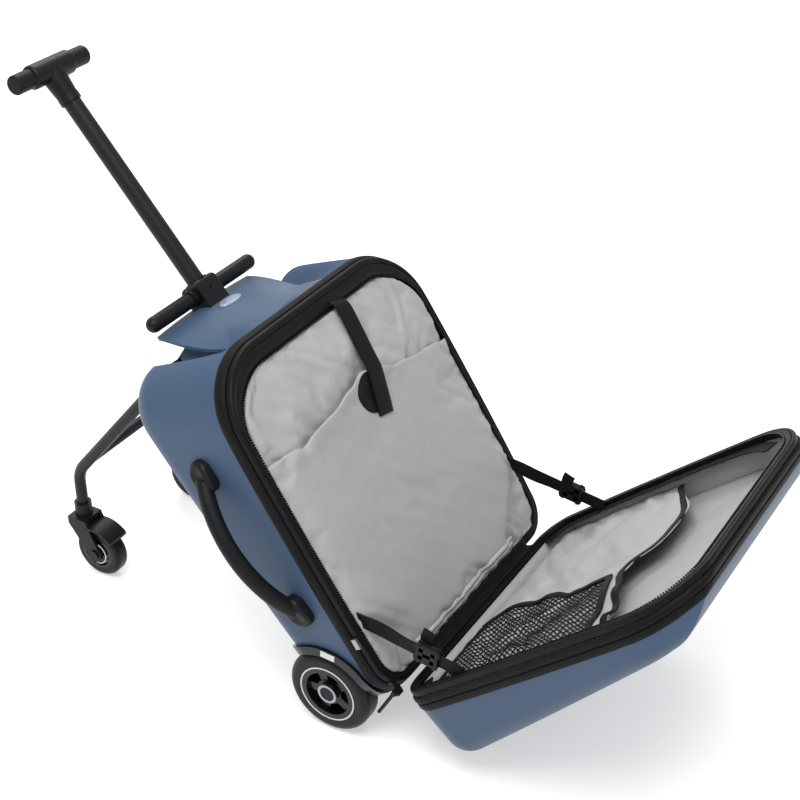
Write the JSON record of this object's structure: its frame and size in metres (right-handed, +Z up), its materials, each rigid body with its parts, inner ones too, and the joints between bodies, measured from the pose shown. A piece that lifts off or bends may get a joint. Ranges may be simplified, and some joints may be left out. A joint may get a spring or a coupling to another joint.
{
  "type": "ride-on suitcase",
  "caption": "Child's hard-shell suitcase that is ridden: leaned back on wheels with a telescopic tow handle, folding caster frame and zipped lid hanging open.",
  "frame": {"origin": "on the floor, under the middle of the object's box as it stands with its lid open and handle out", "axes": "+X from the casters to the open lid, +Y to the rider's right, +Z up from the floor"},
  "size_m": [0.8664, 0.4092, 0.6157],
  "materials": {
    "shell": "matte moulded polycarbonate, slate blue",
    "zip_band": "woven zip band, black",
    "grey_cloth": "plain woven polyester lining, light grey",
    "webbing": "woven webbing, black",
    "net": "knitted mesh, black",
    "piping": "bright hem piping",
    "black_plastic": "fine textured nylon, black",
    "board": "thin stiffener sheet",
    "black_tube": "satin black coated tube",
    "steel": "zinc plated",
    "tyre": "smooth polyurethane, black",
    "hub": "moulded hub, black",
    "grip": "soft moulded grip, black",
    "reflector": "clear moulded reflector",
    "button": "glossy moulded button"
  },
  "bodies": {
    "case": {"main_shell": "shell", "seat_nose": "shell", "wheel_arches": "black_plastic", "arch_reflectors": "reflector", "case_zip_band": "zip_band", "case_zip_tape": "zip_band", "divider_board": "board", "upper_panel": "grey_cloth", "pocket_panel": "grey_cloth", "strap_patch": "webbing", "pocket_strap": "webbing", "hem_piping": "piping", "hinge_cloth": "zip_band", "lid_straps": "webbing", "rod_guide": "black_tube", "guide_foot": "black_plastic", "rod_bush": "black_plastic", "collar_block": "black_plastic", "collar_screw": "steel", "crossbars": "black_tube", "carry_caps": "black_plastic", "carry_grip": "grip", "rear_axle": "steel", "rear_bearings": "steel", "axle_nuts": "steel", "frame_brackets": "black_plastic", "frame_pins": "steel", "zip_end_block": "black_plastic"},
    "lid": {"lid_shell": "shell", "lid_zip_band": "zip_band", "lid_zip_tape": "zip_band", "lid_lining": "grey_cloth", "lid_pocket_panel": "grey_cloth", "lid_mesh_pocket": "net", "lid_buckles": "black_plastic", "pocket_binding": "webbing"},
    "tow_handle": {"tow_tube": "black_tube", "tube_plug": "black_plastic", "handle_neck": "black_plastic", "handle_core": "steel", "handle_grips": "grip"},
    "front_frame": {"frame_leg_left": "black_tube", "frame_leg_right": "black_tube", "frame_cross_tube": "black_tube", "stem_sockets": "black_plastic"},
    "caster_left": {"caster_fork_left": "black_plastic", "caster_bolt_left": "steel"},
    "caster_wheel_left": {"caster_tyre_left": "tyre", "caster_hub_left": "hub"},
    "rear_wheel_left": {"rear_tyre_left": "tyre", "rear_hub_left": "hub"},
    "caster_right": {"caster_fork_right": "black_plastic", "caster_bolt_right": "steel"},
    "caster_wheel_right": {"caster_tyre_right": "tyre", "caster_hub_right": "hub"},
    "rear_wheel_right": {"rear_tyre_right": "tyre", "rear_hub_right": "hub"},
    "release_button": {"release_button": "button"},
    "zip_slider": {"zip_slider": "steel"},
    "zip_pull": {"zip_pull": "webbing"}
  },
  "joints": [
    {"name": "lid_hinge", "type": "hinge", "parent": "case", "child": "lid", "pos_m": [0.13006, 0.01836, 0.08037], "axis": [0, -1, 0], "range_deg": [0, 81.5], "deforming": ["hinge_cloth", "lid_straps", "lid_buckles"]},
    {"name": "tow_slide", "type": "slide", "parent": "case", "child": "tow_handle", "axis": [-0.6508, 0, 0.7593], "range_m": [-0.215, 0]},
    {"name": "frame_fold", "type": "hinge", "parent": "case", "child": "front_frame", "pos_m": [-0.21573, 0.01836, 0.31846], "axis": [0, -1, 0], "range_deg": [0, 55]},
    {"name": "caster_swivel_left", "type": "hinge", "parent": "front_frame", "child": "caster_left", "pos_m": [-0.3647, -0.07364, 0.079], "axis": [0, 0, 1], "continuous": true},
    {"name": "caster_roll_left", "type": "hinge", "parent": "caster_left", "child": "caster_wheel_left", "pos_m": [-0.3417, -0.07364, 0.033], "axis": [0, 1, 0], "continuous": true},
    {"name": "rear_roll_left", "type": "hinge", "parent": "case", "child": "rear_wheel_left", "pos_m": [0.0473, -0.14864, 0.05], "axis": [0, 1, 0], "continuous": true},
    {"name": "caster_swivel_right", "type": "hinge", "parent": "front_frame", "child": "caster_right", "pos_m": [-0.3647, 0.11036, 0.079], "axis": [0, 0, 1], "continuous": true},
    {"name": "caster_roll_right", "type": "hinge", "parent": "caster_right", "child": "caster_wheel_right", "pos_m": [-0.3417, 0.11036, 0.033], "axis": [0, 1, 0], "continuous": true},
    {"name": "rear_roll_right", "type": "hinge", "parent": "case", "child": "rear_wheel_right", "pos_m": [0.0473, 0.18536, 0.05], "axis": [0, 1, 0], "continuous": true},
    {"name": "release_press", "type": "slide", "parent": "case", "child": "release_button", "axis": [-0.2468, 0, 0.9691], "range_m": [-0.003, 0], "stiffness_N_per_m": 300, "springref_m": 0.001},
    {"name": "zip_slide", "type": "slide", "parent": "case", "child": "zip_slider", "axis": [-0.5489, -0.0185, 0.8357], "range_m": [0, 0.12]},
    {"name": "pull_swing", "type": "hinge", "parent": "case", "child": "zip_pull", "pos_m": [0.12499, -0.15114, 0.07942], "axis": [0, -1, 0], "range_deg": [0, 50]}
  ]
}
